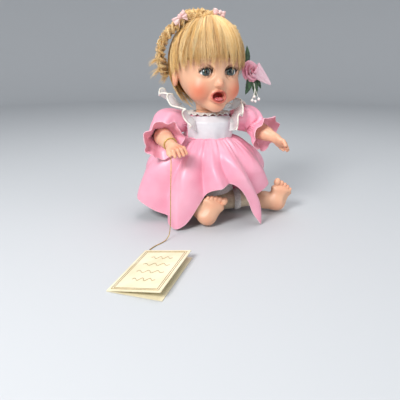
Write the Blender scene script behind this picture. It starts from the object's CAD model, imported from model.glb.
"""Looks for the seated porcelain doll: sculpted bisque, mohair hair, satin dress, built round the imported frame."""
import math

import bpy
import numpy as np
from mathutils import Matrix, Vector


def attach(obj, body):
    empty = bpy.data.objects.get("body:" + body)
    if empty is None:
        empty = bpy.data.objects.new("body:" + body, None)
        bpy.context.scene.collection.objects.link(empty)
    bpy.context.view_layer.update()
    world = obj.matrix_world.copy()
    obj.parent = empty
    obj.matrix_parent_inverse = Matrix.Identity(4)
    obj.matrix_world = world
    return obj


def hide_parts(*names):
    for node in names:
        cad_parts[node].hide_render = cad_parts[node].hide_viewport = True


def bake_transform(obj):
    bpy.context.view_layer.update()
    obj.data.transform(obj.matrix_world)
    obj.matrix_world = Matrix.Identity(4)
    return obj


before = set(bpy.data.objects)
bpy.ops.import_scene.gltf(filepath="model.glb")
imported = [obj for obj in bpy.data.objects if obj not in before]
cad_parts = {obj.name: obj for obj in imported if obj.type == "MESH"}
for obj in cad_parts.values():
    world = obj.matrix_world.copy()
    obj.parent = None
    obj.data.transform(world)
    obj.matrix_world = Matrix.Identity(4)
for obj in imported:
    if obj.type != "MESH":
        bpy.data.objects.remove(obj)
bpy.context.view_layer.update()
MM = 0.001

# ---------------------------------------------------------------- places, in millimetres, as in the CAD
HEAD_YAW = math.radians(10)
HEAD_SHIFT = np.array([3.0, 0.0, 0.0])
NECK = np.array([0.0, 2.0, 116.0])
EYES = {"left": np.array([12.6, -28.5, 153.0]), "right": np.array([-12.6, -28.5, 153.0])}
MOUTH = np.array([-0.3, -35.3, 130.6])
ELBOW = {"left": (50, -10, 95), "right": (-51, -18, 92)}
WRIST = {"left": (64, -35, 88), "right": (-44.5, -46.5, 86.5)}
FINGERS = {"left": (75, -49, 80), "right": (-35, -65, 82)}
PALM_UP = {"left": (0.45, 0.35, 0.8), "right": (0, -0.25, 1)}
HIP = {"left": (16, -4, 14), "right": (-16, -4, 14)}
KNEE = {"left": (47.6, -6, 15), "right": (-27, -29, 30)}
ANKLE = {"left": (77, -15, 12), "right": (-9, -41, 11)}
FOOT_UP = {"left": (0.34, 0.16, 0.94), "right": (0.47, 0.1, 0.88)}
SOLE_OUT = {"left": (-0.1, -1, -0.12), "right": (-0.1, -1, -0.12)}
SIDES = (("left", 1), ("right", -1))
WAIST_Z = 88.0


# ---------------------------------------------------------------- camera and light
def make_stage():
    eye = Vector((-89.4, -420.6, 164.0)) * MM
    cam = bpy.data.objects.new("camera", bpy.data.cameras.new("camera"))
    cam.data.sensor_width = 36
    cam.data.lens = 36
    cam.data.clip_start = 0.01
    cam.location = eye
    cam.rotation_euler = (math.radians(90 - 19.3), 0, math.radians(-10.9))
    bpy.context.collection.objects.link(cam)
    bpy.context.scene.camera = cam
    # a round floor that curves up into a plain wall
    bend = [(1.3 + 0.4 * math.sin(a), 0.4 * (1 - math.cos(a))) for a in np.linspace(0, math.pi / 2, 24)]
    profile = [(0.01, 0.0), (0.7, 0.0)] + bend + [(1.7, 1.1)]
    turns = np.linspace(0, 2 * math.pi, 96, endpoint=False)
    verts = [(reach * math.cos(a), reach * math.sin(a), z - 0.0002) for reach, z in profile for a in turns]
    faces = np.vstack([grid_faces(len(profile), 96, True)]).tolist() + [list(range(96))]
    floor = new_mesh("studio_floor", np.array(verts) / MM, faces, material("studio", (0.77, 0.78, 0.79), 0.75))
    world = bpy.data.worlds.new("world")
    bpy.context.scene.world = world
    world.use_nodes = True
    world.node_tree.nodes["Background"].inputs[0].default_value = (0.90, 0.94, 1.0, 1)
    world.node_tree.nodes["Background"].inputs[1].default_value = 0.46
    bpy.context.scene.view_settings.view_transform = "Standard"
    for name, place, size, power in (
        ("key", (-0.62, -0.62, 0.70), 0.34, 10.5),
        ("fill", (0.75, -0.60, 0.35), 0.7, 2.0),
        ("top", (0.15, 0.10, 1.1), 0.6, 4.5),
    ):
        light = bpy.data.lights.new(name, "AREA")
        light.size = size
        light.energy = power
        lamp = bpy.data.objects.new(name, light)
        lamp.location = place
        lamp.rotation_euler = (Vector((0, 0, 0.1)) - Vector(place)).to_track_quat("-Z", "Y").to_euler()
        bpy.context.collection.objects.link(lamp)


# ---------------------------------------------------------------- mesh helpers
def new_mesh(name, verts, faces, mat=None, smooth=True):
    """A mesh object from points in millimetres."""
    mesh = bpy.data.meshes.new(name)
    mesh.from_pydata((np.asarray(verts, float) * MM).tolist(), [], [tuple(int(i) for i in f) for f in faces])
    mesh.validate(verbose=False)
    mesh.shade_smooth() if smooth else mesh.shade_flat()
    obj = bpy.data.objects.new(name, mesh)
    bpy.context.collection.objects.link(obj)
    if mat:
        mesh.materials.append(mat)
    return obj


def unit(v):
    v = np.asarray(v, float)
    return v / np.linalg.norm(v)


def axes_of(along, up):
    """Right-handed frame whose y runs along and whose z is as near up as it can be."""
    y = unit(along)
    x = unit(np.cross(y, up))
    return np.array([x, y, np.cross(x, y)])


def grid_faces(rows, cols, wrap):
    """Quads of a grid of rows x cols points, closed along the columns if wrap."""
    i, j = np.meshgrid(np.arange(rows - 1), np.arange(cols if wrap else cols - 1), indexing="ij")
    k = (j + 1) % cols
    quads = np.stack([i * cols + j, i * cols + k, (i + 1) * cols + k, (i + 1) * cols + j], -1)
    return quads.reshape(-1, 4)


def normals_of_grid(points, wrap):
    """Unit normals of a (rows, cols, 3) grid of points."""
    down = np.gradient(points, axis=0)
    if wrap:
        across = np.roll(points, -1, 1) - np.roll(points, 1, 1)
    else:
        across = np.gradient(points, axis=1)
    n = np.cross(across, down)
    return n / np.maximum(np.linalg.norm(n, axis=2, keepdims=True), 1e-9)


def cloth_grid(name, points, thick, mat, wrap=True, flip=False):
    """A closed thin cloth from a (rows, cols, 3) grid: two skins joined round their free edges."""
    rows, cols = points.shape[:2]
    n = normals_of_grid(points, wrap) * (-1 if flip else 1)
    both = np.concatenate([(points + n * thick / 2).reshape(-1, 3), (points - n * thick / 2).reshape(-1, 3)])
    quads = grid_faces(rows, cols, wrap)
    count = rows * cols
    faces = [quads, quads[:, ::-1] + count]
    def seam(ids):
        a, b = ids[:-1], ids[1:]
        return np.stack([b, a, a + count, b + count], -1)
    first, last = np.arange(cols), np.arange(cols) + (rows - 1) * cols
    if wrap:
        first, last = np.append(first, first[0]), np.append(last, last[0])
    faces.append(seam(first))
    faces.append(seam(last)[:, ::-1])
    if not wrap:
        left, right = np.arange(rows) * cols, np.arange(rows) * cols + cols - 1
        faces.append(seam(left)[:, ::-1])
        faces.append(seam(right))
    return new_mesh(name, both, np.concatenate(faces), mat)


def tubes(name, paths, radii, sides, mat, shade=None):
    """Many tapered tubes in one mesh. paths: (n, steps, 3); radii: (n, steps)."""
    paths, radii = np.asarray(paths, float), np.asarray(radii, float)
    n, steps = paths.shape[:2]
    t = np.gradient(paths, axis=1)
    t /= np.maximum(np.linalg.norm(t, axis=2, keepdims=True), 1e-9)
    # each path keeps one reference direction, the one most square to all of its tangents
    ref = np.linalg.eigh(np.einsum("nsi,nsj->nij", t, t))[1][:, None, :, 0]
    a = np.cross(t, ref)
    a /= np.maximum(np.linalg.norm(a, axis=2, keepdims=True), 1e-9)
    b = np.cross(t, a)
    turn = np.arange(sides) * 2 * math.pi / sides
    ring = (a[:, :, None] * np.cos(turn)[None, None, :, None] + b[:, :, None] * np.sin(turn)[None, None, :, None])
    verts = paths[:, :, None] + ring * radii[:, :, None, None]
    quads = grid_faces(steps, sides, True)
    faces = (quads[None] + (np.arange(n) * steps * sides)[:, None, None]).reshape(-1, 4)
    obj = new_mesh(name, verts.reshape(-1, 3), faces, mat)
    if shade is not None:
        values = np.repeat(np.asarray(shade, float), steps * sides)
        obj.data.attributes.new("shade", "FLOAT", "POINT").data.foreach_set("value", values)
    return obj


def spline(points, count):
    """Catmull-Rom through the points, count samples."""
    p = np.asarray(points, float)
    p = np.vstack([2 * p[0] - p[1], p, 2 * p[-1] - p[-2]])
    at = np.linspace(0, len(p) - 3 - 1e-6, count)
    i = at.astype(int)
    t = (at - i)[:, None]
    a, b, c, d = p[i], p[i + 1], p[i + 2], p[i + 3]
    return 0.5 * (2 * b + (c - a) * t + (2 * a - 5 * b + 4 * c - d) * t * t + (3 * b - a - 3 * c + d) * t ** 3)


def ease(x):
    x = np.clip(x, 0, 1)
    return x * x * (3 - 2 * x)


def level_at(angles, outline):
    """Smooth closed curve through knots of degrees and value, read at the given degrees."""
    x, y = np.array(outline, float).T
    x, y = np.concatenate([x[-2:] - 360, x, x[:2] + 360]), np.concatenate([y[-2:], y, y[:2]])
    slope, step = np.gradient(y, x), np.diff(x)
    i = np.searchsorted(x, angles, side="right") - 1
    t = (angles - x[i]) / step[i]
    rise = (y[i + 1] - y[i]) / step[i]
    bend = (slope[i] + slope[i + 1] - 2 * rise) * t ** 2 + (3 * rise - 2 * slope[i] - slope[i + 1]) * t + slope[i]
    return y[i] + bend * t * step[i]


# ---------------------------------------------------------------- sculpting with distance fields
def d_ball(p, c, r):
    return np.linalg.norm(p - np.asarray(c, float), axis=-1) - r


def d_egg(p, c, r):
    """About the distance to an ellipsoid."""
    r = np.asarray(r, float)
    q = (p - np.asarray(c, float)) / r
    k = np.linalg.norm(q, axis=-1)
    return k * (k - 1) / np.maximum(np.linalg.norm(q / r, axis=-1), 1e-6)


def d_bar(p, a, b, ra, rb=None):
    a, b = np.asarray(a, float), np.asarray(b, float)
    rb = ra if rb is None else rb
    ab = b - a
    t = np.clip(((p - a) @ ab) / (ab @ ab), 0, 1)
    return np.linalg.norm(p - a - t[..., None] * ab, axis=-1) - (ra + (rb - ra) * t)


def join(a, b, k):
    """Smooth union."""
    h = np.clip(0.5 + 0.5 * (b - a) / k, 0, 1)
    return b + (a - b) * h - k * h * (1 - h)


def cut(a, b, k):
    """Smooth a minus b."""
    return -join(-a, b, k)


def sculpt(field, low, high, pitch):
    """Points and quads of the zero surface of field inside the box, by surface nets."""
    axes = [np.arange(l, h + pitch, pitch) for l, h in zip(low, high)]
    g = np.stack(np.meshgrid(*axes, indexing="ij"), -1)
    f = field(g)
    inside = f < 0
    core = [slice(None, -1), slice(1, None)]
    corners = [(i, j, k) for i in (0, 1) for j in (0, 1) for k in (0, 1)]
    total = sum(inside[core[i], core[j], core[k]].astype(np.int8) for i, j, k in corners)
    active = (total > 0) & (total < 8)
    cells = np.argwhere(active)
    index = -np.ones(active.shape, np.int64)
    index[active] = np.arange(len(cells))
    value = {c: f[cells[:, 0] + c[0], cells[:, 1] + c[1], cells[:, 2] + c[2]] for c in corners}
    acc, hits = np.zeros((len(cells), 3)), np.zeros(len(cells))
    for a in corners:
        for axis in range(3):
            if a[axis]:
                continue
            b = list(a)
            b[axis] = 1
            va, vb = value[a], value[tuple(b)]
            crosses = (va < 0) != (vb < 0)
            t = np.where(crosses, va / np.where(crosses, va - vb, 1), 0)
            place = np.tile(np.array(a, float), (len(cells), 1))
            place[:, axis] = t
            acc += place * crosses[:, None]
            hits += crosses
    verts = np.array(low) + (cells + acc / hits[:, None]) * pitch
    faces = []
    for axis in range(3):
        u, v = (axis + 1) % 3, (axis + 2) % 3
        lo = [slice(None)] * 3
        hi = [slice(None)] * 3
        lo[axis], hi[axis] = slice(None, -1), slice(1, None)
        change = inside[tuple(lo)] != inside[tuple(hi)]
        at = np.argwhere(change)
        keep = (at[:, u] > 0) & (at[:, v] > 0) & (at[:, u] < f.shape[u] - 1) & (at[:, v] < f.shape[v] - 1)
        at = at[keep]
        out = inside[tuple(at.T)]
        ring = []
        for du, dv in ((-1, -1), (0, -1), (0, 0), (-1, 0)):
            c = at.copy()
            c[:, u] += du
            c[:, v] += dv
            ring.append(index[tuple(c.T)])
        quad = np.stack(ring, -1)
        faces.append(np.where(out[:, None], quad, quad[:, ::-1]))
    faces = np.concatenate(faces)
    faces = faces[(faces >= 0).all(1)]
    for _ in range(2):
        e = 0.05
        here = field(verts)
        grad = np.stack([field(verts + np.eye(3)[i] * e) - here for i in range(3)], -1) / e
        step = here[:, None] * grad / np.maximum((grad ** 2).sum(-1, keepdims=True), 0.2)
        verts = verts - np.clip(step, -pitch * 0.4, pitch * 0.4)
    return verts, faces


def paint(obj, colours):
    """Colour at every point, kept as an attribute that the material reads."""
    rgba = np.concatenate([np.clip(colours, 0, 1), np.ones((len(colours), 1))], 1)
    layer = obj.data.color_attributes.new("paint", "FLOAT_COLOR", "POINT")
    layer.data.foreach_set("color", rgba.ravel())


def wash(base, colour, weight):
    w = np.clip(weight, 0, 1)[:, None]
    return base * (1 - w) + np.asarray(colour, float) * w


def spot(p, c, r):
    """A soft round weight about c with radii r."""
    return np.exp(-(((p - np.asarray(c, float)) / np.asarray(r, float)) ** 2).sum(-1))


def turned_head(p):
    """Head-frame points, made facing -Y, to where the head rests."""
    c, s = math.cos(HEAD_YAW), math.sin(HEAD_YAW)
    q = np.asarray(p, float) - NECK - HEAD_SHIFT
    return np.stack([q[..., 0] * c - q[..., 1] * s, q[..., 0] * s + q[..., 1] * c, q[..., 2]], -1) + NECK


# ---------------------------------------------------------------- materials
def lin(c):
    return tuple(((v + 0.055) / 1.055) ** 2.4 if v > 0.04045 else v / 12.92 for v in c)


MATERIALS = {}


def material(name, colour, rough, **sockets):
    """A node material with the shader's own sockets set; colour is sRGB."""
    if name in MATERIALS:
        return MATERIALS[name]
    mat = bpy.data.materials.new(name)
    mat.use_nodes = True
    shader = mat.node_tree.nodes["Principled BSDF"]
    shader.inputs["Base Color"].default_value = (*lin(colour), 1)
    shader.inputs["Roughness"].default_value = rough
    for key, value in sockets.items():
        shader.inputs[key.replace("_", " ")].default_value = value
    MATERIALS[name] = mat
    return mat


def node(mat, kind, **settings):
    made = mat.node_tree.nodes.new(kind)
    for key, value in settings.items():
        if key.startswith("in_"):
            made.inputs[key[3:].replace("_", " ")].default_value = value
        else:
            setattr(made, key, value)
    return made


def wire(mat, a, b):
    mat.node_tree.links.new(a, b)


def shader_of(mat):
    return mat.node_tree.nodes["Principled BSDF"]


def add_variation(mat, dark, light, scale, detail=4.0):
    """Mottle the base colour between two sRGB colours."""
    place = node(mat, "ShaderNodeTexCoord")
    noise = node(mat, "ShaderNodeTexNoise", in_Scale=scale, in_Detail=detail)
    ramp = node(mat, "ShaderNodeValToRGB")
    ramp.color_ramp.elements[0].position = 0.3
    ramp.color_ramp.elements[1].position = 0.7
    ramp.color_ramp.elements[0].color = (*lin(dark), 1)
    ramp.color_ramp.elements[1].color = (*lin(light), 1)
    wire(mat, place.outputs["Object"], noise.inputs["Vector"])
    wire(mat, noise.outputs["Fac"], ramp.inputs["Fac"])
    wire(mat, ramp.outputs["Color"], shader_of(mat).inputs["Base Color"])
    return noise


def add_bump(mat, kind, scale, strength, distance, **settings):
    """A fine relief from one texture."""
    place = node(mat, "ShaderNodeTexCoord")
    texture = node(mat, kind, **settings)
    texture.inputs["Scale"].default_value = scale
    bump = node(mat, "ShaderNodeBump", in_Strength=strength, in_Distance=distance)
    wire(mat, place.outputs["Object"], texture.inputs["Vector"])
    out = "Fac" if "Fac" in texture.outputs else "Distance"
    wire(mat, texture.outputs[out], bump.inputs["Height"])
    wire(mat, bump.outputs["Normal"], shader_of(mat).inputs["Normal"])
    return bump


def read_attribute(mat, name, socket="Color"):
    made = node(mat, "ShaderNodeAttribute", attribute_name=name)
    return made.outputs[socket]


def make_materials():
    bisque = material("bisque", (0.87, 0.66, 0.52), 0.46, Subsurface_Weight=0.06, Subsurface_Scale=0.004)
    shader_of(bisque).inputs["Subsurface Radius"].default_value = (1.0, 0.45, 0.25)
    shader_of(bisque).inputs["Coat Weight"].default_value = 0.12
    shader_of(bisque).inputs["Coat Roughness"].default_value = 0.35
    wire(bisque, read_attribute(bisque, "paint"), shader_of(bisque).inputs["Base Color"])
    add_bump(bisque, "ShaderNodeTexNoise", 2600, 0.05, 0.0002, in_Detail=3.0)

    satin = material("pink_satin", (0.96, 0.67, 0.75), 0.44, Sheen_Weight=0.18, Sheen_Roughness=0.35,
                     Anisotropic=0.5, Specular_IOR_Level=0.8)
    add_variation(satin, (0.93, 0.60, 0.69), (0.965, 0.69, 0.765), 38)
    add_bump(satin, "ShaderNodeTexWave", 900, 0.06, 0.0001, in_Distortion=1.5, in_Detail=2.0)
    inner = material("pink_satin_inside", (0.84, 0.52, 0.61), 0.5, Sheen_Weight=0.2)
    add_variation(inner, (0.80, 0.44, 0.54), (0.88, 0.54, 0.63), 45)
    thread = material("pink_thread", (0.95, 0.70, 0.76), 0.5, Sheen_Weight=0.4)
    add_variation(thread, (0.90, 0.60, 0.68), (0.98, 0.80, 0.84), 900)

    white = material("white_satin", (0.93, 0.92, 0.93), 0.26, Sheen_Weight=0.3, Anisotropic=0.4)
    add_variation(white, (0.80, 0.79, 0.81), (0.88, 0.87, 0.88), 60)
    add_bump(white, "ShaderNodeTexWave", 900, 0.05, 0.0001, in_Distortion=1.5)

    organza = material("organza", (0.90, 0.90, 0.90), 0.45, Alpha=0.42, Sheen_Weight=0.5)
    add_variation(organza, (0.80, 0.80, 0.79), (0.97, 0.97, 0.96), 90)
    add_bump(organza, "ShaderNodeTexVoronoi", 1500, 0.2, 0.0001)
    edge = material("satin_edge", (0.95, 0.93, 0.88), 0.3, Sheen_Weight=0.4)
    add_variation(edge, (0.88, 0.86, 0.80), (0.98, 0.97, 0.93), 400)

    lace = material("white_lace", (0.93, 0.92, 0.90), 0.7, Sheen_Weight=0.3)
    add_variation(lace, (0.80, 0.79, 0.77), (0.97, 0.96, 0.94), 700)
    add_bump(lace, "ShaderNodeTexVoronoi", 900, 0.9, 0.0006)
    cloth = material("body_cloth", (0.86, 0.79, 0.68), 0.85, Sheen_Weight=0.3)
    add_variation(cloth, (0.80, 0.72, 0.60), (0.90, 0.84, 0.74), 300)
    add_bump(cloth, "ShaderNodeTexVoronoi", 1400, 0.5, 0.0003)

    hair = material("hair", (0.85, 0.66, 0.38), 0.42, Sheen_Weight=0.25, Anisotropic=0.5)
    ramp = node(hair, "ShaderNodeValToRGB")
    stops = [(0.0, (0.74, 0.51, 0.23)), (0.35, (0.90, 0.72, 0.43)), (0.7, (0.97, 0.83, 0.58)), (1.0, (1.0, 0.91, 0.70))]
    ramp.color_ramp.elements[0].color = (*lin(stops[0][1]), 1)
    ramp.color_ramp.elements[1].color = (*lin(stops[-1][1]), 1)
    for at, colour in stops[1:-1]:
        ramp.color_ramp.elements.new(at).color = (*lin(colour), 1)
    wire(hair, read_attribute(hair, "shade", "Fac"), ramp.inputs["Fac"])
    wire(hair, ramp.outputs["Color"], shader_of(hair).inputs["Base Color"])
    cap = material("hair_base", (0.78, 0.57, 0.29), 0.7)
    add_variation(cap, (0.70, 0.49, 0.22), (0.84, 0.64, 0.36), 500)
    add_bump(cap, "ShaderNodeTexWave", 500, 0.6, 0.0005, in_Distortion=3.0)

    eye = material("glass_eye", (0.9, 0.9, 0.9), 0.05, Coat_Weight=1.0, Coat_Roughness=0.01)
    wire(eye, read_attribute(eye, "paint"), shader_of(eye).inputs["Base Color"])
    lash = material("lash", (0.13, 0.07, 0.05), 0.5)
    add_variation(lash, (0.08, 0.04, 0.03), (0.22, 0.13, 0.09), 900)
    wet = material("tongue_pink", (0.78, 0.38, 0.38), 0.18, Coat_Weight=0.8, Coat_Roughness=0.08)
    add_variation(wet, (0.70, 0.30, 0.32), (0.86, 0.48, 0.46), 300)

    bow = material("bow_ribbon", (0.93, 0.76, 0.74), 0.28, Sheen_Weight=0.4, Anisotropic=0.4)
    add_variation(bow, (0.88, 0.68, 0.67), (0.96, 0.83, 0.81), 160)
    rose = material("rose_satin", (0.92, 0.60, 0.68), 0.38, Sheen_Weight=0.4)
    add_variation(rose, (0.86, 0.47, 0.57), (0.97, 0.76, 0.81), 150)
    veil = material("rose_veil", (0.96, 0.82, 0.86), 0.35, Alpha=0.55, Sheen_Weight=0.5)
    add_variation(veil, (0.93, 0.74, 0.80), (0.99, 0.90, 0.92), 120)
    leaf = material("leaf", (0.13, 0.27, 0.14), 0.4, Coat_Weight=0.2)
    add_variation(leaf, (0.07, 0.17, 0.08), (0.22, 0.38, 0.20), 320)
    add_bump(leaf, "ShaderNodeTexWave", 300, 0.3, 0.0004, in_Distortion=2.0)
    pearl = material("pearl", (0.94, 0.92, 0.88), 0.16, Coat_Weight=0.8, Coat_Roughness=0.08)
    add_variation(pearl, (0.90, 0.86, 0.82), (0.98, 0.97, 0.96), 300)

    gold = material("gold_cord", (0.72, 0.58, 0.28), 0.38, Metallic=0.55)
    add_variation(gold, (0.55, 0.42, 0.16), (0.88, 0.76, 0.42), 1800)
    elastic = material("gold_elastic", (0.80, 0.64, 0.30), 0.4, Metallic=0.35)
    add_variation(elastic, (0.62, 0.46, 0.18), (0.92, 0.80, 0.48), 1500)
    card = material("card", (0.91, 0.87, 0.74), 0.55)
    add_variation(card, (0.88, 0.83, 0.69), (0.93, 0.90, 0.79), 60)
    add_bump(card, "ShaderNodeTexNoise", 900, 0.15, 0.0002)
    gilt = material("gilt_print", (0.60, 0.46, 0.17), 0.35, Metallic=0.5)
    add_variation(gilt, (0.48, 0.36, 0.11), (0.72, 0.58, 0.27), 400)
    steel = material("steel", (0.62, 0.62, 0.62), 0.32, Metallic=1.0)
    add_bump(steel, "ShaderNodeTexNoise", 900, 0.2, 0.0002)
    snap = material("snap_metal", (0.78, 0.78, 0.78), 0.2, Metallic=1.0)
    add_bump(snap, "ShaderNodeTexNoise", 700, 0.1, 0.0002)
    plaster = material("plaster", (0.90, 0.88, 0.84), 0.9)
    add_variation(plaster, (0.84, 0.82, 0.77), (0.94, 0.92, 0.88), 200)
    pate = material("pate_card", (0.78, 0.70, 0.56), 0.85)
    add_variation(pate, (0.70, 0.62, 0.47), (0.84, 0.77, 0.63), 200)


M = MATERIALS
SKIN, BLUSH = np.array(lin((0.90, 0.70, 0.57))), np.array(lin((0.84, 0.40, 0.27)))


def skin_colours(p, blushes, amount=0.6):
    """Bisque colour with soft warm patches."""
    base = np.tile(SKIN, (len(p), 1))
    wobble = 0.5 + 0.5 * np.sin(p[:, 0] * 0.21 + 1.3) * np.sin(p[:, 1] * 0.17) * np.sin(p[:, 2] * 0.19 + 0.5)
    base = base * (0.96 + 0.05 * wobble[:, None])
    for centre, radii, strength in blushes:
        base = wash(base, BLUSH, amount * strength * spot(p, centre, radii))
    return base


# ---------------------------------------------------------------- head
def lid_opening(p, centre):
    """Negative inside the almond between the eyelids, looking along Y."""
    x, z = p[..., 0] - centre[0], p[..., 2] - centre[2]
    upper = np.hypot(x, z + 4.0) - 7.6
    lower = np.hypot(x, z - 5.4) - 8.6
    return np.maximum(upper, lower)


LIP_WIDE, LIP_HIGH = 7.4, 5.4


def face_field(p):
    f = d_egg(p, (0, -2, 160), (31.4, 36.0, 35.6))
    f = join(f, d_egg(p, (0, -12, 144), (26.5, 24.0, 23)), 7)
    for x in (-1, 1):
        f = join(f, d_egg(p, (x * 14.2, -22.5, 136.8), (11.6, 12.0, 12.2)), 6)
        f = join(f, d_ball(p, (x * 2.2, -27.6, 122.8), 6.6), 5)
        ear = d_egg(p, (x * 32.4, 1.5, 147), (2.6, 5.6, 8.2))
        ear = cut(ear, d_egg(p, (x * 35.2, -0.5, 148), (2.1, 3.2, 5.0)), 1.2)
        f = join(f, ear, 1.8)
    f = join(f, d_egg(p, (0, -17, 127.5), (14.5, 14.5, 10.5)), 6)
    f = join(f, d_bar(p, (3, 2, 108), (1, 2, 124), 11.0), 4)
    # nose
    f = join(f, d_bar(p, (0, -34.6, 150), (0, -37.2, 143.5), 1.0, 2.1), 4.5)
    f = join(f, d_ball(p, (0, -38.3, 142.4), 2.7), 2.8)
    for x in (-1, 1):
        f = join(f, d_ball(p, (x * 2.9, -36.6, 141.4), 1.7), 1.6)
        f = cut(f, d_ball(p, (x * 1.6, -38.0, 139.8), 0.65), 0.7)
    # open mouth with full lips
    px, pz = p[..., 0] - MOUTH[0], p[..., 2] - MOUTH[2]
    lx, lz = px / LIP_WIDE, pz / LIP_HIGH
    around = np.hypot(lx, lz)
    bow = 0.9 * np.exp(-(px / 1.6) ** 2) * (pz > 0)
    lip_y = MOUTH[1] - 1.2 + 0.050 * px ** 2 - 0.6 * (lz < 0)
    lip = np.hypot((around - 1) * LIP_HIGH + bow, (p[..., 1] - lip_y) * 0.8) - 1.25
    f = join(f, lip, 1.8)
    f = cut(f, d_egg(p, MOUTH + np.array([0, -2.0, 0]), (LIP_WIDE - 1.1, 8.5, LIP_HIGH - 0.9)), 1.0)
    f = cut(f, d_bar(p, (0, -38.2, 138.6), (0, -38.4, 137.4), 0.6), 1.2)
    # eyelids over the glass eyes
    for c in EYES.values():
        f = cut(f, d_egg(p, c + np.array([0, -6.2, 0.2]), (7.8, 4.0, 6.2)), 3.0)
        lid = d_ball(p, c, 7.3)
        lid = np.maximum(lid, p[..., 1] - c[1])
        f = join(f, lid, 1.6)
        opening = np.maximum(lid_opening(p, c), p[..., 1] - c[1])
        f = cut(f, opening, 0.5)
        f = cut(f, d_ball(p, c, 6.55), 0.3)
    return f


def eye_line(side, lift, count):
    """Points along the upper lid's edge of one eye."""
    c = EYES[side]
    a = np.linspace(math.radians(33), math.radians(147), count)
    r = 7.6 + lift
    x, z = r * np.cos(a), r * np.sin(a) - 4.0
    y = -np.sqrt(np.maximum(7.4 ** 2 - x ** 2 - z ** 2, 1.2))
    return c + np.stack([x, y, z], -1)


def make_head():
    pitch = 0.8
    verts, faces = sculpt(face_field, (-40, -44, 108), (40, 37, 192), pitch)
    p = verts
    front = p[:, 1] < -15
    colours = skin_colours(p, [
        ((17.5, -27, 136), (9.0, 12, 8.5), 1.5), ((-17.5, -27, 136), (9.0, 12, 8.5), 1.5),
        ((0, -36, 122), (6, 8, 4), 0.5), ((0, -40, 142), (4.5, 5, 4), 0.45),
        ((34, 0, 143), (4, 8, 7), 0.5), ((-34, 0, 143), (4, 8, 7), 0.5), ((0, -34, 172), (12, 8, 6), 0.18),
    ], 0.72)
    ring = np.hypot((p[:, 0] - MOUTH[0]) / LIP_WIDE, (p[:, 2] - MOUTH[2]) / LIP_HIGH)
    near_mouth = front & (p[:, 1] < MOUTH[1] + 12)
    lips = np.exp(-((ring - 0.97) / 0.20) ** 2) * near_mouth
    colours = wash(colours, lin((0.74, 0.28, 0.25)), 0.9 * lips)
    throat = ease((0.84 - ring) / 0.2) * near_mouth
    colours = wash(colours, lin((0.66, 0.20, 0.17)), throat)
    for side, sign in SIDES:
        c = EYES[side]
        opening = lid_opening(p, c)
        rim = np.exp(-(opening / 0.7) ** 2) * front * (np.abs(p[:, 0] - c[0]) < 9) * (p[:, 2] > c[2] - 0.5)
        colours = wash(colours, lin((0.20, 0.10, 0.07)), 0.9 * rim)
        low = np.exp(-(opening / 0.55) ** 2) * front * (np.abs(p[:, 0] - c[0]) < 9) * (p[:, 2] <= c[2] - 0.5)
        colours = wash(colours, lin((0.55, 0.32, 0.24)), 0.6 * low)
        shade = spot(p, c + np.array([sign * 1.0, -4, 6.2]), (8, 7, 2.4)) * front
        colours = wash(colours, lin((0.80, 0.52, 0.42)), 0.25 * shade)
        brow_x = (p[:, 0] - c[0]) * sign
        brow_z = c[2] + 10.6 - 0.030 * (brow_x - 1.5) ** 2
        strokes = 0.6 + 0.4 * np.sin(p[:, 0] * 5.5 + p[:, 2] * 3.0)
        brow = np.exp(-((p[:, 2] - brow_z) / 0.75) ** 2) * ease((8.5 - np.abs(brow_x - 0.5)) / 3) * front
        colours = wash(colours, lin((0.62, 0.38, 0.24)), 0.55 * brow * strokes)
    seam = np.exp(-((p[:, 2] - 114.8) / 0.5) ** 2) * (np.hypot(p[:, 0], p[:, 1] - 2) < 13)
    colours = wash(colours, lin((0.50, 0.33, 0.26)), 0.5 * seam)
    head = new_mesh("head_skin", turned_head(verts), faces, M["bisque"])
    paint(head, colours)
    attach(head, "head")
    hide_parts("head_shell")
    for side, sign in SIDES:
        make_eye(side, sign)
    tongue_points, tongue_faces = sculpt(
        lambda q: cut(d_egg(q, MOUTH + np.array([0, 0.4, -2.5]), (4.6, 3.8, 2.2)),
                      d_bar(q, MOUTH + np.array([0, -5, -0.8]), MOUTH + np.array([0, 2, -0.8]), 0.5), 0.8),
        (-6, MOUTH[1] - 6, MOUTH[2] - 7), (6, MOUTH[1] + 7, MOUTH[2] + 3), 0.45)
    tongue = new_mesh("tongue_visual", turned_head(tongue_points), tongue_faces, M["tongue_pink"])
    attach(tongue, "head")
    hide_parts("tongue")


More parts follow.
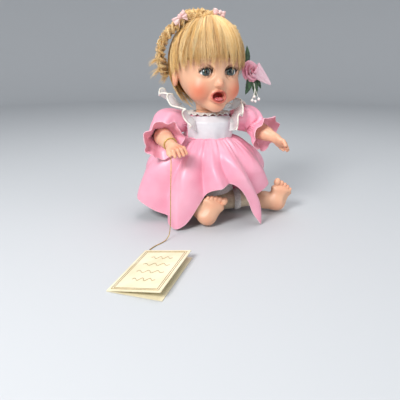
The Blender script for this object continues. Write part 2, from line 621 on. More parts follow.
def make_eye(side, sign):
    """A glass eye with a threaded iris, its painted lashes and its hair lashes."""
    c, r = EYES[side], 6.45
    rows, cols = 72, 96
    lat, lon = np.linspace(0.0, math.pi, rows), np.arange(cols) * 2 * math.pi / cols
    off, around = np.meshgrid(lat, lon, indexing="ij")
    gaze = unit((-sign * 0.02 - 0.10, -1, -0.02))
    side_axis = unit(np.cross(gaze, (0, 0, 1)))
    up_axis = np.cross(side_axis, gaze)
    bulge = 0.35 * np.exp(-(off / 0.62) ** 4)
    reach = (r + bulge)[..., None]
    p = c + reach * (np.cos(off)[..., None] * gaze
                     + np.sin(off)[..., None] * (np.cos(around)[..., None] * side_axis + np.sin(around)[..., None] * up_axis))
    eye = new_mesh(f"glass_eye_{side}", turned_head(p.reshape(-1, 3)), grid_faces(rows, cols, True)[:, ::-1], M["glass_eye"])
    a, t = off.ravel(), around.ravel()
    white, iris = np.array(lin((0.93, 0.92, 0.90))), np.array(lin((0.14, 0.27, 0.26)))
    colour = np.tile(white, (len(a), 1))
    streak = 0.5 + 0.25 * np.sin(t * 24) + 0.25 * np.sin(t * 41 + 1.0)
    threads = iris[None] * (0.55 + 0.8 * streak)[:, None]
    inside = ease((0.64 - a) / 0.03)[:, None]
    colour = colour * (1 - inside) + threads * inside
    limbus = np.exp(-((a - 0.60) / 0.06) ** 2)
    colour = wash(colour, lin((0.10, 0.16, 0.20)), 0.9 * limbus)
    colour = wash(colour, lin((0.01, 0.01, 0.015)), ease((0.34 - a) / 0.03))
    paint(eye, colour)
    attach(eye, "head")
    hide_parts(f"eye_{side}")
    rng = np.random.default_rng(7 + sign)
    count = 46
    roots = eye_line(side, 0.15, count)
    out = np.stack([(roots[:, 0] - c[0]) * 0.11, np.full(count, -0.5), np.full(count, 0.8)], -1)
    length = 2.9 * (0.75 + 0.35 * rng.random(count)) * (0.75 + 0.25 * np.abs(np.linspace(-1, 1, count)))
    s = np.linspace(0, 1, 6)
    paths = roots[:, None] + out[:, None] * (length[:, None] * s)[..., None]
    paths[..., 2] += 0.9 * s ** 2
    paths[..., 0] += 0.35 * (rng.random(count)[:, None] - 0.5) * s
    width = 0.13 * (1 - 0.8 * s)[None].repeat(count, 0)
    lashes = tubes(f"lashes_{side}", turned_head(paths), width, 4, M["lash"])
    line = tubes(f"lash_line_{side}", turned_head(eye_line(side, 0.0, 24))[None], np.full((1, 24), 0.38), 6, M["lash"])
    for obj in (lashes, line):
        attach(obj, "head")
    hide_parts(f"eyelash_{side}")


# ---------------------------------------------------------------- hair
HAIR_CENTRE, HAIR_RADII = np.array([0.0, -3.0, 157.0]), np.array([36.8, 40.6, 45.6])


def on_hair(polar, azimuth, lift=0.0):
    """A point on the hair surface: polar from the crown, azimuth 0 at the face, + towards the doll's left."""
    d = np.stack([np.sin(polar) * np.sin(azimuth), -np.sin(polar) * np.cos(azimuth), np.cos(polar)], -1)
    return HAIR_CENTRE + d * (HAIR_RADII + np.asarray(lift)[..., None])


def strands(name, azimuths, start, end, rng, lift, sides_out, tuck, curl=0.0):
    """Locks of fine hair combed from the crown outwards: each lock is a bundle that narrows at its tip."""
    steps, per_lock = 12, 26
    paths, radii, shades = [], [], []
    s = np.linspace(0, 1, steps)
    for az in azimuths:
        az = az + rng.normal(0, 0.02)
        finish = end(az) * (1 + rng.normal(0, 0.035))
        tone = 0.5 + rng.normal(0, 0.16)
        drift = rng.normal(0, 0.11)
        lock_lift = rng.random() * lift
        for _ in range(per_lock):
            across = rng.normal(0, sides_out)
            high = rng.random() * 1.5
            reach = finish * (1 + rng.normal(0, 0.05))
            polar = start + (reach - start) * s
            narrow = 1 - 0.55 * s ** 3
            azimuth = az + across * narrow + drift * s ** 2 + curl * s ** 3
            out = lock_lift + high * (1 - 0.4 * s) + 0.8 * np.sin(math.pi * s) - tuck * s ** 3
            paths.append(on_hair(polar, azimuth, out))
            radii.append(0.20 * (1 - 0.75 * s ** 2))
            shades.append(np.clip(tone + rng.normal(0, 0.13), 0, 1))
    return tubes(name, turned_head(np.array(paths)), radii, 3, M["hair"], shades)


def hairline(az):
    """How far down from the crown the hair reaches at an azimuth."""
    deg = (math.degrees(az) + 180) % 360 - 180
    points = [(-180, 2.30), (-125, 2.18), (-100, 1.72), (-78, 1.50), (-55, 1.44), (0, 1.40),
              (55, 1.44), (78, 1.50), (100, 1.72), (125, 2.18)]
    return float(level_at(deg, points))


def make_hair():
    rng = np.random.default_rng(11)
    # base cap under the locks
    rows, cols = 40, 120
    az = np.linspace(-math.pi, math.pi, cols, endpoint=False)
    reach = np.array([hairline(a) for a in az]) - 0.05
    share = np.linspace(0.0, 1, rows)[:, None]
    cap_points = on_hair(0.02 + (reach[None] - 0.02) * share, np.repeat(az[None], rows, 0),
                         -1.8 - 2.2 * np.repeat(share, cols, 1) ** 3)
    cap = cloth_grid("hair_cap", turned_head(cap_points), 1.0, M["hair_base"], True, True)
    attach(cap, "head")
    front = np.linspace(-1.25, 1.25, 84)
    fringe = strands("fringe_hair", front, 0.16, hairline, rng, 2.2, 0.040, 2.6, 0.0)
    back = np.linspace(1.28, 2 * math.pi - 1.28, 120)
    wig = strands("wig_hair", back, 0.16, hairline, rng, 1.8, 0.042, 1.5, 0.05)
    for obj, replaced in ((fringe, "fringe"), (wig, "wig")):
        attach(obj, "head")
        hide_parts(replaced)
    paths = {
        "left": [(25, -5, 196), (34, -1, 184), (38, 3, 169), (35, 10, 158), (30, 17, 150)],
        "right": [(-25, -5, 199), (-37.5, -2, 191), (-45.5, 2, 177), (-44.5, 7, 162), (-37, 14, 151)],
    }
    for side, sign in SIDES:
        plait(f"plait_{side}", paths[side], 5.0 if sign > 0 else 7.0, rng, f"braid_{side}")
        tuft(f"plait_tuft_{side}", paths[side][-1], (sign * 4, 3, -6), rng)
    tuft("plait_wisps_right", (-46, 6, 166), (-9, 1, -3), rng)
    tuft("plait_wisps_low_right", (-44, 9, 157), (-9, 0, -5), rng)
    ring = [(-8 + 12.5 * math.cos(a), 0 + 12 * math.sin(a), 204.8 + 2.6 * math.sin(a) + 1.2 * math.cos(a)) for a in np.linspace(0, 2 * math.pi, 13)]
    plait("crown_plait", ring, 6.4, rng, "braid_crown")
    ring = [(-8 + 5 * math.cos(a), 0 + 5 * math.sin(a), 207.4) for a in np.linspace(0, 2 * math.pi, 9)]
    plait("crown_plait_inner", ring, 3.6, rng, None)


def plait(name, path, size, rng, replaced):
    """A three-strand plait: each strand is a twisted bundle of fine hair."""
    count = 90
    line = spline(path, count)
    t = np.gradient(line, axis=0)
    t /= np.linalg.norm(t, axis=1, keepdims=True)
    out = line - (HAIR_CENTRE - np.array([0, 0, 10.0]))
    out -= (out * t).sum(1, keepdims=True) * t
    out /= np.linalg.norm(out, axis=1, keepdims=True)
    across = np.cross(t, out)
    length = np.linalg.norm(np.diff(line, axis=0), axis=1).sum()
    turns = length / (size * 2.5)
    phase = np.linspace(0, 2 * math.pi * turns, count)
    paths, radii, shades = [], [], []
    fibres = 26
    for k in range(3):
        a = phase + 2 * math.pi * k / 3
        centre = line + across * (size * 0.62 * np.sin(a))[:, None] + out * (size * 0.30 * np.sin(2 * a))[:, None]
        for _ in range(fibres):
            turn, r = rng.random() * 2 * math.pi, size * 0.44 * math.sqrt(rng.random())
            twist = turn + phase * 0.35
            p = centre + across * (r * np.cos(twist))[:, None] + out * (r * np.sin(twist))[:, None]
            paths.append(p)
            radii.append(np.full(count, 0.24))
            shades.append(np.clip(0.55 + rng.normal(0, 0.17) + 0.15 * (r / size), 0, 1))
    obj = tubes(name, turned_head(np.array(paths)), radii, 3, M["hair"], shades)
    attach(obj, "head")
    if replaced:
        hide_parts(replaced)


def tuft(name, start, direction, rng):
    """The loose end of a plait."""
    s = np.linspace(0, 1, 8)
    start, direction = np.array(start, float), np.array(direction, float)
    paths, shades = [], []
    for _ in range(60):
        root = start + rng.normal(0, 0.9, 3)
        way = direction * (0.7 + 0.6 * rng.random()) + rng.normal(0, 1.4, 3)
        p = root + way * s[:, None]
        p[:, 2] -= 2.2 * s ** 2
        paths.append(p)
        shades.append(np.clip(0.6 + rng.normal(0, 0.2), 0, 1))
    radii = (0.17 * (1 - 0.8 * s))[None].repeat(60, 0)
    obj = tubes(name, turned_head(np.array(paths)), radii, 3, M["hair"], shades)
    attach(obj, "head")


def make_bow(side, centre, lean, size):
    """A tied satin ribbon bow: two loops, two tails and a knot."""
    centre = np.array(centre, float)
    c, s = math.cos(lean), math.sin(lean)
    def place(p):
        x, y, z = p[..., 0], p[..., 1], p[..., 2]
        return turned_head(np.stack([x * c + z * s, y, -x * s + z * c], -1) * size + centre)
    pieces = []
    u = np.linspace(0, 1, 40)
    v = np.linspace(-1, 1, 9)
    for sign in (-1, 1):
        loop_x = 5.6 * np.sin(math.pi * u) * (1 + 0.15 * np.sin(2 * math.pi * u)) * sign
        loop_z = 1.6 * np.sin(2 * math.pi * u)
        wide = 1.2 + 1.5 * np.sin(math.pi * u)
        points = np.stack([np.repeat(loop_x[:, None], 9, 1), -0.6 + 0.35 * np.sin(2 * math.pi * u)[:, None] * 0 + v[None] * wide[:, None],
                           np.repeat(loop_z[:, None], 9, 1) + 0.35 * np.cos(v[None] * 6 + sign)], -1)
        pieces.append((place(points[..., [0, 2, 1]] * np.array([1, 1, 1])), False))
        tail_x = sign * (0.6 + 3.6 * u)
        tail = np.stack([np.repeat(tail_x[:, None], 9, 1) + v[None] * 0.6, np.full((40, 9), -0.6) - 0.4 * np.sin(3 * u)[:, None],
                         -4.8 * u[:, None] + v[None] * 1.2], -1)
        pieces.append((place(tail), False))
    obs = [cloth_grid(f"bow_{side}_{i}", p, 0.22, M["bow_ribbon"], False) for i, (p, _) in enumerate(pieces)]
    points, faces = sculpt(lambda q: d_egg(q, (0, 0, 0), (1.5, 1.4, 1.9)) + 0.15 * np.sin(q[..., 0] * 5),
                           (-3, -3, -3), (3, 3, 3), 0.4)
    obs.append(new_mesh(f"bow_{side}_knot", place(points + np.array([0, -0.8, 0])), faces, M["bow_ribbon"]))
    for obj in obs:
        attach(obj, "head")
    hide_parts(f"bow_{side}")


def make_roses():
    """The spray at the left temple: a satin rose, leaves, a veil ribbon and pearl stamens."""
    centre = np.array([42.0, -19.5, 153.0])
    rng = np.random.default_rng(5)
    petals = []
    for layer, (count, reach, height) in enumerate(((3, 3.2, 5.0), (5, 6.4, 4.6), (6, 9.2, 2.8), (7, 11.2, -0.2))):
        for i in range(count):
            turn = 2 * math.pi * (i + 0.37 * layer) / count + rng.normal(0, 0.08)
            u, v = np.meshgrid(np.linspace(0, 1, 12), np.linspace(-1, 1, 13), indexing="ij")
            spread = (0.35 + 0.9 * np.sin(u * math.pi * 0.55)) * (1.35 if layer else 1.9)
            ang = turn + v * spread * 0.55
            r = reach * (0.25 + 0.75 * u) * (1 - 0.12 * v ** 2)
            z = height * u ** 1.5 - 1.4 * u ** 4 * (layer > 0) + 0.4 * np.sin(3 * v + i)
            petals.append(np.stack([r * np.cos(ang), r * np.sin(ang), z], -1))
    facing = axes_of((0.2, 0.30, 1.0), (0.25, -0.90, 0.35))
    verts, faces, base = [], [], 0
    for p in petals:
        n = normals_of_grid(p, False)
        for shift in (0.12, -0.12):
            verts.append((p + n * shift).reshape(-1, 3))
        quads = grid_faces(12, 13, False)
        faces.append(quads + base)
        faces.append(quads[:, ::-1] + base + 156)
        base += 312
    local = np.concatenate(verts)
    world = centre + local[:, :1] * facing[0] + local[:, 1:2] * facing[1] + local[:, 2:] * facing[2]
    rose = new_mesh("rose_petals", turned_head(world), np.concatenate(faces), M["rose_satin"])
    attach(rose, "head")
    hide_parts("rose_bloom")
    leaves = []
    leaf_plan = [((40, -20, 147), (34, -26, 131), 4.2), ((44, -19, 146), (48, -22, 128), 4.2),
                 ((38, -15, 158), (41, -12, 178), 3.6), ((46, -17, 148), (56, -18, 136), 3.0)]
    for i, (a, b, width) in enumerate(leaf_plan):
        a, b = np.array(a, float), np.array(b, float)
        u, v = np.meshgrid(np.linspace(0, 1, 22), np.linspace(-1, 1, 11), indexing="ij")
        across = unit(np.cross(b - a, (0.3, -1, 0.1)))
        face = unit(np.cross(across, b - a))
        wide = width * np.sin(math.pi * u ** 0.8) ** 0.9 * (1 + 0.06 * np.sin(u * 40))
        p = a + (b - a) * u[..., None] + across * (v * wide)[..., None] + face * (1.3 * np.abs(v) * np.sin(math.pi * u) - 1.5 * u ** 2)[..., None]
        leaves.append(cloth_grid(f"rose_leaf_{i}", turned_head(p), 0.25, M["leaf"], False))
    for obj in leaves:
        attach(obj, "head")
    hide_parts("rose_leaves")
    u, turn = np.meshgrid(np.linspace(0, 1, 24), np.linspace(0, 2 * math.pi, 36, endpoint=False), indexing="ij")
    a, b = np.array([45.0, -20, 155]), np.array([64.0, -22, 140])
    along, across = unit(b - a), unit(np.cross(b - a, (0, -1, 0.2)))
    up = np.cross(across, along)
    r = (7.0 * (1 - u) ** 0.8 + 0.5) * (1 + 0.16 * np.sin(turn * 5 + 2 * u))
    p = a + (b - a) * u[..., None] + across * (r * np.cos(turn))[..., None] + up * (0.55 * r * np.sin(turn))[..., None]
    veil = cloth_grid("rose_veil", turned_head(p), 0.2, M["rose_veil"], True)
    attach(veil, "head")
    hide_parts("rose_ribbon")
    beads = [(51, -21.4, 125.6), (43, -22, 124.6), (47.4, -20.6, 123.4), (45, -22.5, 128.5)]
    points, faces = sculpt(lambda q: np.min([d_ball(q, c, 1.6) for c in beads], 0), (40, -27, 120), (56, -16, 132), 0.35)
    pearls = new_mesh("pearl_beads", turned_head(points), faces, M["pearl"])
    stems = np.array([spline([(45, -17, 147), (46, -21, 137), bead], 14) for bead in beads])
    wires = tubes("pearl_stems", turned_head(stems), np.full((4, 14), 0.28), 6, M["satin_edge"])
    for obj in (pearls, wires):
        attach(obj, "head")
    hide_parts("pearl_spray")


# ---------------------------------------------------------------- hands and feet
def hand_field(side, along, up):
    """Distance field of a forearm and hand in body coordinates."""
    elbow, wrist = np.array(ELBOW[side], float), np.array(WRIST[side], float)
    axes = axes_of(along, up)
    inner = 1 if side == "left" else -1
    start = elbow + (wrist - elbow) * 0.12
    curl = 1.0 if side == "right" else 0.35
    def field(p):
        f = d_bar(p, start, wrist, 8.4, 5.0)
        f = join(f, d_bar(p, start, start + (wrist - elbow) * 0.4, 8.6, 7.2), 3)
        q = (p - wrist) @ axes.T
        f = join(f, d_egg(q, (0, 5.5, -0.2), (7.9, 7.6, 3.7)), 3.0)
        f = join(f, d_egg(q, (inner * -4.8, 4.0, -1.6), (3.4, 4.6, 3.0)), 2.2)
        for i, x in enumerate((-5.9, -2.0, 1.9, 5.6)):
            mid = (x * 1.05, 12.6 - 0.35 * abs(x), 0.6)
            tip = (x * 1.12, 17.6 - (1.6 if i in (0, 3) else 0) - 1.4 * curl, -1.4 - 1.9 * curl)
            finger = join(d_bar(q, (x, 8.0, 0.3), mid, 2.15, 1.95), d_bar(q, mid, tip, 1.95, 1.6), 0.6)
            f = join(f, finger, 0.9)
        thumb = join(d_bar(q, (inner * -5.0, 2.8, -1.4), (inner * -8.6, 7.2, -2.4), 2.5, 2.1),
                     d_bar(q, (inner * -8.6, 7.2, -2.4), (inner * -9.4, 11.0, -2.8), 2.1, 1.7), 0.8)
        f = join(f, thumb, 1.4)
        for x in (-4.0, 0.0, 4.0):
            f = cut(f, d_ball(q, (x * 0.98, 9.6, 3.2), 0.8), 0.8)
        return f
    return field, axes, wrist


def make_forearms():
    for side, sign in SIDES:
        along = np.array(FINGERS[side], float) - np.array(WRIST[side], float)
        field, axes, wrist = hand_field(side, along, PALM_UP[side])
        points = np.array([ELBOW[side], WRIST[side], FINGERS[side]], float)
        low, high = points.min(0) - 13, points.max(0) + 13
        verts, faces = sculpt(field, low, high, 0.5)
        q = (verts - wrist) @ axes.T
        blush = [(wrist + np.array([x, y, z]) @ axes, (3, 3, 3), s)
                 for x, y, z, s in ((0, 9.5, 3, 0.8), (-5, 9, 2, 0.7), (5, 9, 2, 0.7), (0, 16.5, -1, 0.5), (-5, 15, -1, 0.5), (5, 15, -1, 0.5))]
        colours = skin_colours(verts, blush, 0.6)
        gaps = np.min([np.abs(q[:, 0] - g) for g in (-4.0, 0.0, 3.9)], 0)
        crease = np.exp(-(gaps / 0.45) ** 2) * (q[:, 1] > 9.5)
        colours = wash(colours, lin((0.66, 0.38, 0.28)), 0.5 * crease)
        arm = new_mesh(f"forearm_skin_{side}", verts, faces, M["bisque"])
        paint(arm, colours)
        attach(arm, f"forearm_{side}")
        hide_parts(f"forearm_{side}")


def foot_field(side):
    knee, ankle = np.array(KNEE[side], float), np.array(ANKLE[side], float)
    up, out = unit(FOOT_UP[side]), unit(SOLE_OUT[side])
    x = unit(np.cross(up, out))
    axes = np.array([x, np.cross(np.cross(x, up), x), np.cross(x, up)])
    big = 1 if side == "left" else -1
    def field(p):
        f = d_bar(p, knee + (ankle - knee) * 0.42, ankle, 8.6, 7.4)
        f = join(f, d_bar(p, knee + (ankle - knee) * 0.60, knee + (ankle - knee) * 0.85, 9.8, 9.0), 4)
        q = (p - ankle) @ axes.T
        f = join(f, d_egg(q, (0, -1.5, 2.4), (9.6, 8.2, 7.6)), 4)
        f = join(f, d_egg(q, (0, 7.5, 2.8), (10.2, 11.5, 6.6)), 4)
        f = join(f, d_egg(q, (0, 14.0, 3.6), (12.2, 5.4, 5.6)), 4)
        f = cut(f, d_egg(q, (big * 9.5, 6, 10.5), (4.5, 7, 4.2)), 4)
        f = cut(f, d_bar(q, (-11, 17.6, 10.0), (11, 17.6, 10.0), 1.0), 1.4)
        for i, tx in enumerate((-8.2, -3.0, 1.4, 5.3, 8.9)):
            r = (3.9, 2.9, 2.6, 2.4, 2.2)[i]
            f = join(f, d_egg(q, (tx * big, 21.4 - 0.25 * i * i, 5.0), (r * 0.92, r * 1.15, r)), 0.8)
        return f
    return field, axes, ankle, big


def make_feet():
    for side, sign in SIDES:
        field, axes, ankle, big = foot_field(side)
        points = np.array([KNEE[side], ANKLE[side], ankle + axes[1] * 22 + axes[2] * 5], float)
        low, high = points.min(0) - 14, points.max(0) + 14
        verts, faces = sculpt(field, low, high, 0.55)
        verts[:, 2] = np.maximum(verts[:, 2], 0.05)
        toes = [(ankle + np.array([x, 21, 4]) @ axes, (4, 4, 4), 0.7) for x in (-7, -2, 3, 7)]
        heel = [(ankle + np.array([0, -4, 8]) @ axes, (6, 6, 5), 0.5), (ankle + np.array([0, 14, 9]) @ axes, (8, 5, 4), 0.35)]
        colours = skin_colours(verts, toes + heel, 0.5)
        leg = new_mesh(f"lower_leg_skin_{side}", verts, faces, M["bisque"])
        paint(leg, colours)
        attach(leg, f"shin_{side}")
        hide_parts(f"lower_leg_{side}")


# ---------------------------------------------------------------- dress
HEM_HEIGHT = [(-145, 0.6), (-125, 6), (-105, 20), (-88, 22), (-70, 9), (-56, 1), (-46, 0.4), (-34, 6), (-20, 28), (-6, 43), (8, 47), (22, 43),
              (32, 27), (39, 9), (44, 0.4), (50, 9), (60, 28), (74, 41), (88, 43), (101, 34), (114, 14), (124, 2), (150, 0.6)]
HEM_REACH = [(-180, 45), (-140, 54), (-112, 66), (-92, 74), (-72, 65), (-46, 55), (-20, 55), (8, 59), (28, 57), (44, 57),
             (66, 62), (82, 66), (100, 66), (130, 57), (155, 48)]


def bell(share):
    """Radius share of the skirt at a share of the way from waist to floor."""
    knots = np.array([0.0, 0.10, 0.24, 0.40, 0.70, 1.0])
    value = np.array([0.0, 0.40, 0.72, 0.93, 1.02, 1.0])
    i = np.clip(np.searchsorted(knots, share, side="right") - 1, 0, 4)
    t = (share - knots[i]) / (knots[i + 1] - knots[i])
    return value[i] + (value[i + 1] - value[i]) * (t * (1.35 - 0.35 * t))


# big soft folds: degrees at the waist and at the hem, width in degrees, height in mm
FOLDS = [
    (12, 43, 9, 12.0), (1, 26, 7, -10.0), (-9, 8, 7, 9.0), (-21, -14, 8, -12.0), (-34, -40, 11, 11.0), (-48, -66, 7, -11.0),
    (-64, -88, 10, 5.0), (-82, -108, 9, -5.0), (30, 60, 6, -8.0), (48, 76, 8, 6.0), (66, 96, 8, -5.0), (84, 114, 10, 5.0),
    (105, 132, 9, -4.0), (128, 150, 10, 4.0), (150, 168, 9, -4.0), (172, 184, 9, 4.0), (-100, -128, 10, 4.0),
    (-124, -148, 9, -4.0), (-146, -166, 9, 3.5),
]


def skirt_points(rows, cols, inset=0.0):
    deg = np.linspace(-180, 180, cols, endpoint=False)
    phi = np.radians(deg)[None]
    hem_z, hem_r = np.maximum(level_at(deg, HEM_HEIGHT), 0.5)[None], level_at(deg, HEM_REACH)[None]
    s = np.linspace(0, 1, rows)[:, None]
    z = WAIST_Z + (hem_z - WAIST_Z) * s ** 0.9
    down = (WAIST_Z - z) / WAIST_Z
    r = 26.3 + (hem_r - 26.3) * bell(np.clip(down, 0, 1))
    near_waist = np.exp(-down * 7)
    gathers = 0.9 * np.sin(46 * phi) + 0.8 * np.sin(31 * phi + 1) + 0.6 * np.sin(19 * phi + 2)
    r = r + near_waist * gathers * ease(down / 0.04)
    for at_waist, at_hem, width, height in FOLDS:
        middle = at_waist + (at_hem - at_waist) * ease(down / 0.9)
        off = (np.degrees(phi) - middle + 180) % 360 - 180
        r = r + height * np.exp(-np.abs(off / width) ** 1.7) * ease(down / 0.30) * (0.55 + 0.45 * down)
    r = r + ease(down / 0.5) * (0.5 * np.sin(14 * phi + 2.2 + 2 * down)) * (1 - 0.8 * down) - inset
    z = z + 0.5 * np.sin(11 * phi + 1) * near_waist
    return np.stack([r * np.sin(phi), -r * np.cos(phi), np.broadcast_to(z, r.shape)], -1)


def stitch_row(name, line, step, radius, mat, body, closed=True):
    """A row of short stitches laid along a line of points."""
    line = np.asarray(line)
    if closed:
        line = np.vstack([line, line[:1]])
    gaps = np.linalg.norm(np.diff(line, axis=0), axis=1)
    along = np.concatenate([[0], np.cumsum(gaps)])
    count = int(along[-1] / step)
    paths = []
    for i in range(count):
        at = np.linspace(i * step + 0.15 * step, i * step + 0.75 * step, 4)
        paths.append(np.stack([np.interp(at, along, line[:, k]) for k in range(3)], -1))
    obj = tubes(name, paths, np.full((len(paths), 4), radius), 5, mat)
    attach(obj, body)
    return obj


def make_skirt():
    points = skirt_points(90, 420)
    skirt = cloth_grid("skirt_satin", points, 0.5, M["pink_satin"], True)
    skirt.data.materials.append(M["pink_satin_inside"])
    half = len(grid_faces(90, 420, True))
    inside = np.zeros(len(skirt.data.polygons), np.int32)
    inside[:half] = 1
    skirt.data.polygons.foreach_set("material_index", inside)
    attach(skirt, "torso")
    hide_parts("skirt")
    hem = points[-1] + np.array([0, 0, 0.2])
    edge = tubes("skirt_hem", [np.vstack([hem, hem[:2]])], np.full((1, len(hem) + 2), 0.42), 6, M["pink_thread"])
    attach(edge, "torso")
    stitch_row("skirt_hem_stitches", skirt_points(90, 420, -0.45)[-4], 1.5, 0.14, M["pink_thread"], "torso")


def body_ring(z, extra, phi):
    """The bodice's outline at a height."""
    r = np.interp(z, [88, 100, 104.5, 107.5, 110.6], [25.1, 25.3, 25.1, 22.6, 19.4]) + extra
    return np.stack([r * np.sin(phi), -r * np.cos(phi), np.broadcast_to(z, np.shape(r * phi))], -1)


def make_bodice():
    rows, cols = 40, 260
    phi = np.linspace(-math.pi, math.pi, cols, endpoint=False)[None].repeat(rows, 0)
    z = np.linspace(WAIST_Z - 0.5, 110.6, rows)[:, None].repeat(cols, 1)
    pull = 0.35 * np.sin(30 * phi) * np.exp(-(z - WAIST_Z) / 3.5) + 0.3 * np.sin(7 * phi + z * 0.15)
    points = body_ring(z, pull, phi)[::-1]
    bodice = cloth_grid("bodice_satin", points, 0.5, M["pink_satin"], True)
    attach(bodice, "torso")
    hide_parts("bodice")
    rows, cols = 46, 90
    u = np.linspace(-1, 1, cols)[None].repeat(rows, 0)
    v = np.linspace(0, 1, rows)[:, None].repeat(cols, 1)
    width = np.radians(59 + 4 * v)
    z = WAIST_Z - 0.3 + (22.2 + 0.4 * np.cos(u * 3)) * v
    puff = 1.6 + 1.1 * np.sin(math.pi * v) ** 0.7 * (1 - 0.3 * u ** 2)
    folds = 0.35 * np.sin(u * 17 + 2 * v) * np.exp(-v * 4) + 0.25 * np.sin(u * 9 + 4 * v)
    points = body_ring(z, puff + folds, u * width)[::-1]
    bib = cloth_grid("bib_satin", points, 0.5, M["white_satin"], False)
    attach(bib, "torso")
    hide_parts("bib_panel")
    band = np.linspace(-math.pi, math.pi, 200, endpoint=False)
    ring = body_ring(np.full(200, WAIST_Z), 1.5 + 0.25 * np.sin(40 * band), band)
    waist = tubes("waist_seam", [np.vstack([ring, ring[:2]])], np.full((1, 202), 0.8), 8, M["pink_satin"])
    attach(waist, "torso")
    # lace at the neck
    phi = np.linspace(0, 2 * math.pi, 300, endpoint=False)[None].repeat(10, 0)
    v = np.linspace(0, 1, 10)[:, None].repeat(300, 1)
    r = 15.6 + 7.4 * v + 0.9 * np.sin(phi * 18) * v
    z = 113.0 - 1.2 * v + 1.1 * np.sin(phi * 18 + 1.2) * v
    lace = cloth_grid("neck_lace_frill", np.stack([r * np.sin(phi), -r * np.cos(phi), z], -1), 0.4, M["white_lace"], True, True)
    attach(lace, "torso")
    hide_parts("neck_lace")


def make_ruffle(side, base, crest, waves):
    """Sheer stand-up ruffle with a satin ribbon edge."""
    cols, rows = 260, 18
    base_line, crest_line = spline(base, cols), spline(crest, cols)
    t = np.linspace(0, 1, cols)
    v = np.linspace(0, 1, rows)[:, None, None]
    out = crest_line - base_line
    side_way = np.gradient(crest_line, axis=0)
    side_way /= np.linalg.norm(side_way, axis=1, keepdims=True)
    fall = np.cross(side_way, out)
    fall /= np.linalg.norm(fall, axis=1, keepdims=True)
    turn = 2 * math.pi * waves * t + 0.8 * np.sin(2 * math.pi * t)
    envelope = (np.sin(math.pi * t) ** 0.4)[:, None]
    swing = fall * np.sin(turn)[:, None] * 4.2 + side_way * np.cos(turn + 0.6)[:, None] * 3.4 + out * 0.07 * np.sin(2 * turn + 1)[:, None]
    points = base_line + out * v + envelope * swing * v ** 1.4
    sheet = cloth_grid(f"ruffle_organza_{side}", points, 0.16, M["organza"], False)
    edge = tubes(f"ruffle_edge_{side}", [points[-1]], np.full((1, cols), 0.75), 8, M["satin_edge"])
    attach(sheet, "torso")
    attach(edge, "torso")
    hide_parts(f"shoulder_ruffle_{side}")


def make_ruffles():
    right_base = [(-17, -26, 96), (-19, -22.5, 108), (-25, -12, 113), (-29, 2, 114.5), (-24, 16, 113), (-15, 23, 108)]
    right_crest = [(-24, -30, 100), (-31, -30, 116), (-43, -16, 129), (-49, 2, 134), (-40, 22, 130), (-24, 31, 118)]
    left_base = [(17, -26, 96), (19, -22.5, 108), (25, -12, 112.5), (28, 2, 114), (24, 16, 113), (15, 23, 108)]
    left_crest = [(23, -30, 97), (27, -28, 110), (34, -17, 119), (38, 2, 122), (34, 20, 120), (22, 29, 114)]
    for side, base, crest, waves in (("right", right_base, right_crest, 5), ("left", left_base, left_crest, 4)):
        make_ruffle(side, base, crest, waves)


def make_sleeves():
    plans = {
        "right": ([(-25, 0, 102.5), (-33, -1, 103), (-44, -4, 102.5), (-51, -12, 96.5), (-51.5, -19, 92.5), (-51, -25, 90.5), (-50.5, -31, 89)],
                  [10.5, 14.0, 15.6, 11.6, 10.2, 15.7, 19.6]),
        "left": ([(25, 0, 103), (33, -1, 104), (43, -3, 104.5), (50, -8, 98.5), (52, -13, 94.5), (55, -18, 92.5), (58, -23, 91)],
                 [10.5, 13.6, 15.4, 12.4, 10.9, 15.2, 18.4]),
    }
    for side, sign in SIDES:
        centre, radius = plans[side]
        rows, cols = 96, 240
        line = spline(centre, rows)
        rad = spline(np.array(radius, float)[:, None], rows)[:, 0]
        t = np.gradient(line, axis=0)
        t /= np.linalg.norm(t, axis=1, keepdims=True)
        up = np.array([0, 0, 1.0]) - t * t[:, 2:3]
        up /= np.linalg.norm(up, axis=1, keepdims=True)
        side_way = np.cross(t, up)
        turn = np.linspace(0, 2 * math.pi, cols, endpoint=False)[None]
        s = np.linspace(0, 1, rows)[:, None]
        seam = 4.0 / 6
        gather = np.exp(-((s - seam) / 0.075) ** 2) + np.exp(-(s / 0.08) ** 2)
        frill = ease((s - seam) / (1 - seam))
        wrinkle = 0.75 * np.sin(26 * turn + 3 * s) * gather + 0.9 * np.sin(6 * turn + 5 * s + sign) * ease(s / 0.2) * (1 - frill)
        wave = frill * (1.3 * np.sin(7 * turn + 0.7 * sign) + 0.5 * np.sin(12 * turn + 2))
        r = rad[:, None] + wrinkle + wave
        squash_z = 1 - 0.14 * (1 - frill)
        drop = frill * 1.3 * np.sin(7 * turn + 2.2)
        p = (line[:, None] + side_way[:, None] * (r * np.cos(turn))[..., None]
             + up[:, None] * (r * squash_z * np.sin(turn))[..., None] + t[:, None] * drop[..., None])
        sleeve = cloth_grid(f"sleeve_satin_{side}", p, 0.45, M["pink_satin"], True, True)
        edge = tubes(f"sleeve_frill_edge_{side}", [np.vstack([p[-1], p[-1][:2]])], np.full((1, cols + 2), 0.45), 6, M["pink_thread"])
        band_row = p[int(seam * (rows - 1))]
        band = tubes(f"sleeve_elastic_{side}", [np.vstack([band_row, band_row[:2]])], np.full((1, cols + 2), 0.42), 6, M["pink_thread"])
        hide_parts(f"sleeve_{side}", f"sleeve_frill_{side}")
        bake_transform(sleeve)
        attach(edge, f"forearm_{side}")
        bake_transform(band)


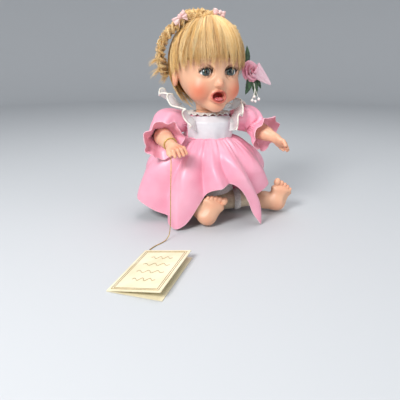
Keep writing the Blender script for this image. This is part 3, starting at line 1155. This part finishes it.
# ---------------------------------------------------------------- tag
CORD_ROUTE = [
    (-45.5, -42.6, 80.6), (-45.9, -50.0, 74.0), (-48.2, -59.8, 52.0), (-49.4, -64.0, 26.0),
    (-50.6, -66.8, 6.0), (-54.6, -70.0, 0.45), (-60.5, -76.4, 0.42), (-67.0, -81.0, 0.45), (-72.2, -88.6, 0.7),
]
CARD_WIDTH, CARD_LENGTH, CARD_LIFT, CARD_TURN = 45.0, 70.0, 7.0, math.radians(-28)


def card_place(p):
    """Card coordinates (x from the fold, y down the card, z up) to the body frame."""
    x, y, z = p[..., 0], -p[..., 1], p[..., 2]
    c, s = math.cos(CARD_TURN), math.sin(CARD_TURN)
    return np.stack([x * c - y * s + CORD_ROUTE[-1][0] - 4, x * s + y * c + CORD_ROUTE[-1][1] - 1.0, z], -1)


def make_tag():
    curve = bpy.data.curves.new("tag_cord_line", "CURVE")
    curve.dimensions = "3D"
    curve.bevel_depth = 0.4 * MM
    curve.bevel_resolution = 3
    run = curve.splines.new("NURBS")
    run.points.add(len(CORD_ROUTE) - 1)
    for point, place in zip(run.points, CORD_ROUTE):
        point.co = (*[v * MM for v in place], 1)
    run.order_u = 3
    run.use_endpoint_u = True
    run.resolution_u = 16
    cord = bpy.data.objects.new("tag_cord_thread", curve)
    bpy.context.collection.objects.link(cord)
    curve.materials.append(M["gold_cord"])
    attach(cord, "forearm_right")
    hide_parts("tag_cord")
    # generic ornament on the front leaf: a double border and scrolls, no lettering
    def on_card(u, v):
        slope = (CARD_LIFT - 0.5) / (CARD_WIDTH - 1.2)
        return np.stack([u, v, 1.08 + slope * u], -1)
    lines = []
    for inset in (2.6, 4.2):
        far_u, far_v = CARD_WIDTH - 1.2 - inset, CARD_LENGTH - inset
        box = [(inset, inset), (far_u, inset), (far_u, far_v), (inset, far_v), (inset, inset)]
        for a, b in zip(box, box[1:]):
            lines.append(on_card(np.linspace(a[0], b[0], 40), np.linspace(a[1], b[1], 40)))
    for row in range(4):
        t = np.linspace(-1, 1, 40)
        half = 13 - 2.2 * abs(row - 1.5)
        lines.append(on_card(CARD_WIDTH / 2 + half * t, 15 + 12.5 * row + 2.3 * np.sin(t * math.pi * 3) * (1 - 0.4 * np.abs(t))))
    ornament = tubes("tag_ornament", card_place(np.array(lines)), np.full((len(lines), 40), 0.2), 5, M["gilt_print"])
    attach(ornament, "forearm_right")


# ---------------------------------------------------------------- carried-over CAD nodes
def dress_cad_nodes():
    """Give each CAD node that stays visible its real material."""
    plan = {
        "body_cloth": ["soft_body", "upper_arm_left", "upper_arm_right", "arm_tie_left", "arm_tie_right",
                       "upper_leg_left", "upper_leg_right", "leg_tie_left", "leg_tie_right"],
        "white_lace": ["bloomers", "bloomer_leg_left", "bloomer_leg_right"],
        "steel": ["neck_bolt", "neck_washer", "neck_spring", "wing_nut", "arm_wire_left", "arm_wire_right"],
        "snap_metal": ["back_snaps"], "plaster": ["eye_plaster"], "pate_card": ["pate"],
        "gold_elastic": ["wrist_band"], "card": ["tag_card"],
    }
    for name, members in plan.items():
        for member in members:
            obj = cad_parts[member]
            for slot in obj.material_slots:
                slot.material = M[name]
    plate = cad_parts["shoulder_plate"]
    china = material("plate_bisque", (0.88, 0.69, 0.56), 0.5)
    add_variation(china, (0.86, 0.66, 0.53), (0.90, 0.72, 0.60), 60)
    for slot in plate.material_slots:
        slot.material = china


make_stage()
make_materials()
make_tag()
make_head()
make_hair()
make_bow("right", (-31, -11, 202), math.radians(-38), 1.25)
make_bow("left", (9, -13, 207), math.radians(12), 1.1)
make_roses()
make_forearms()
make_feet()
make_skirt()
make_bodice()
make_ruffles()
make_sleeves()
dress_cad_nodes()
